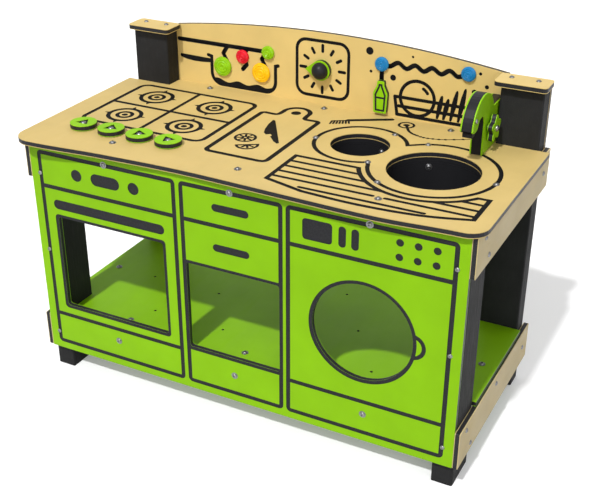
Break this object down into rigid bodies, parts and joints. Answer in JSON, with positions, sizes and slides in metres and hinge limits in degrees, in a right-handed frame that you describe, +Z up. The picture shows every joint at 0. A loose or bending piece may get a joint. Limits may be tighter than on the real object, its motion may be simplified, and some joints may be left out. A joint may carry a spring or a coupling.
{
  "type": "toy kitchen",
  "caption": "Outdoor toy kitchen: worktop with engraved hob, two sinks and tap, cupboard front with oven, bay and round washer opening, backsplash with sliders.",
  "frame": {"origin": "ground level under the middle of the whole kitchen's bounding box", "axes": "+Z up, -Y towards the child at the front panel, +X to that child's right along the worktop"},
  "size_m": [1.362, 0.6576, 0.984],
  "materials": {
    "green_sheet": "lime green skins on a black core, fine orange-peel texture",
    "tan_sheet": "tan skins on a black core, fine orange-peel texture",
    "black_sheet": "solid black, satin",
    "post_plastic": "moulded recycled plastic with a rough grain",
    "disc_green": "moulded, smooth",
    "disc_red": "moulded, smooth",
    "disc_yellow": "moulded, smooth",
    "disc_blue": "moulded, smooth",
    "steel": "stainless"
  },
  "bodies": {
    "frame": {"post_front_left": "post_plastic", "post_back_left": "post_plastic", "cap_left": "tan_sheet", "rail_upper_left": "tan_sheet", "rail_lower_left": "tan_sheet", "post_front_right": "post_plastic", "post_back_right": "post_plastic", "cap_right": "tan_sheet", "rail_upper_right": "tan_sheet", "rail_lower_right": "tan_sheet", "front_panel": "green_sheet", "worktop": "tan_sheet", "bottom_shelf": "green_sheet", "backsplash": "tan_sheet", "slot_cover_left": "black_sheet", "slot_cover_right": "black_sheet", "sink_plate": "black_sheet", "sink_bowl_small": "black_sheet", "sink_bowl_large": "black_sheet", "timer_pivot": "steel", "bottle": "green_sheet", "knob_bolt_1": "steel", "knob_bolt_2": "steel", "knob_bolt_3": "steel", "knob_bolt_4": "steel", "tap_core": "black_sheet", "tap_plate_left": "green_sheet", "tap_plate_right": "green_sheet", "tap_handle_bolt": "steel", "bracket_shelf_left": "steel", "bracket_top_left": "steel", "bracket_back_left": "steel", "bracket_shelf_middle": "steel", "bracket_top_middle": "steel", "bracket_back_middle": "steel", "bracket_shelf_right": "steel", "bracket_top_right": "steel", "bracket_back_right": "steel", "bracket_side_left": "steel", "bracket_side_right": "steel"},
    "knob_1": {"knob_1": "green_sheet"},
    "knob_2": {"knob_2": "green_sheet"},
    "knob_3": {"knob_3": "green_sheet"},
    "knob_4": {"knob_4": "green_sheet"},
    "timer": {"timer_pointer": "green_sheet", "timer_grip": "black_sheet"},
    "tap_handle": {"tap_handle": "green_sheet"},
    "slider_green_large": {"disc_green_large": "disc_green", "pin_green_large": "steel"},
    "slider_red": {"disc_red": "disc_red", "pin_red": "steel"},
    "slider_yellow": {"disc_yellow": "disc_yellow", "pin_yellow": "steel"},
    "slider_green_small": {"disc_green_small": "disc_green", "pin_green_small": "steel"},
    "slider_blue_left": {"disc_blue_left": "disc_blue", "pin_blue_left": "steel"},
    "slider_blue_right": {"disc_blue_right": "disc_blue", "pin_blue_right": "steel"}
  },
  "joints": [
    {"name": "knob_1_turn", "type": "hinge", "parent": "frame", "child": "knob_1", "pos_m": [-0.545, -0.1718, 0.7685], "axis": [0, 0, 1], "continuous": true},
    {"name": "knob_2_turn", "type": "hinge", "parent": "frame", "child": "knob_2", "pos_m": [-0.45, -0.1718, 0.7685], "axis": [0, 0, 1], "continuous": true},
    {"name": "knob_3_turn", "type": "hinge", "parent": "frame", "child": "knob_3", "pos_m": [-0.355, -0.1718, 0.7685], "axis": [0, 0, 1], "continuous": true},
    {"name": "knob_4_turn", "type": "hinge", "parent": "frame", "child": "knob_4", "pos_m": [-0.26, -0.1718, 0.7685], "axis": [0, 0, 1], "continuous": true},
    {"name": "timer_turn", "type": "hinge", "parent": "frame", "child": "timer", "pos_m": [-0.027, 0.306, 0.875], "axis": [0, 1, 0], "continuous": true},
    {"name": "tap_handle_turn", "type": "hinge", "parent": "frame", "child": "tap_handle", "pos_m": [0.5305, 0.1902, 0.833], "axis": [1, 0, 0], "continuous": true},
    {"name": "slider_green_large_slide", "type": "slide", "parent": "frame", "child": "slider_green_large", "axis": [0.6715, 0, 0.741], "range_m": [0, 0.02]},
    {"name": "slider_red_slide", "type": "slide", "parent": "frame", "child": "slider_red", "axis": [0.4961, 0, -0.8682], "range_m": [0, 0.024]},
    {"name": "slider_yellow_slide", "type": "slide", "parent": "frame", "child": "slider_yellow", "axis": [0.6715, 0, 0.741], "range_m": [0, 0.015]},
    {"name": "slider_green_small_slide", "type": "slide", "parent": "frame", "child": "slider_green_small", "axis": [-1, 0, 0], "range_m": [0, 0.05]},
    {"name": "slider_blue_left_slide", "type": "slide", "parent": "frame", "child": "slider_blue_left", "axis": [0.9747, 0, -0.2236], "range_m": [0, 0.02]},
    {"name": "slider_blue_right_slide", "type": "slide", "parent": "frame", "child": "slider_blue_right", "axis": [-0.9053, 0, -0.4248], "range_m": [0, 0.03]}
  ]
}
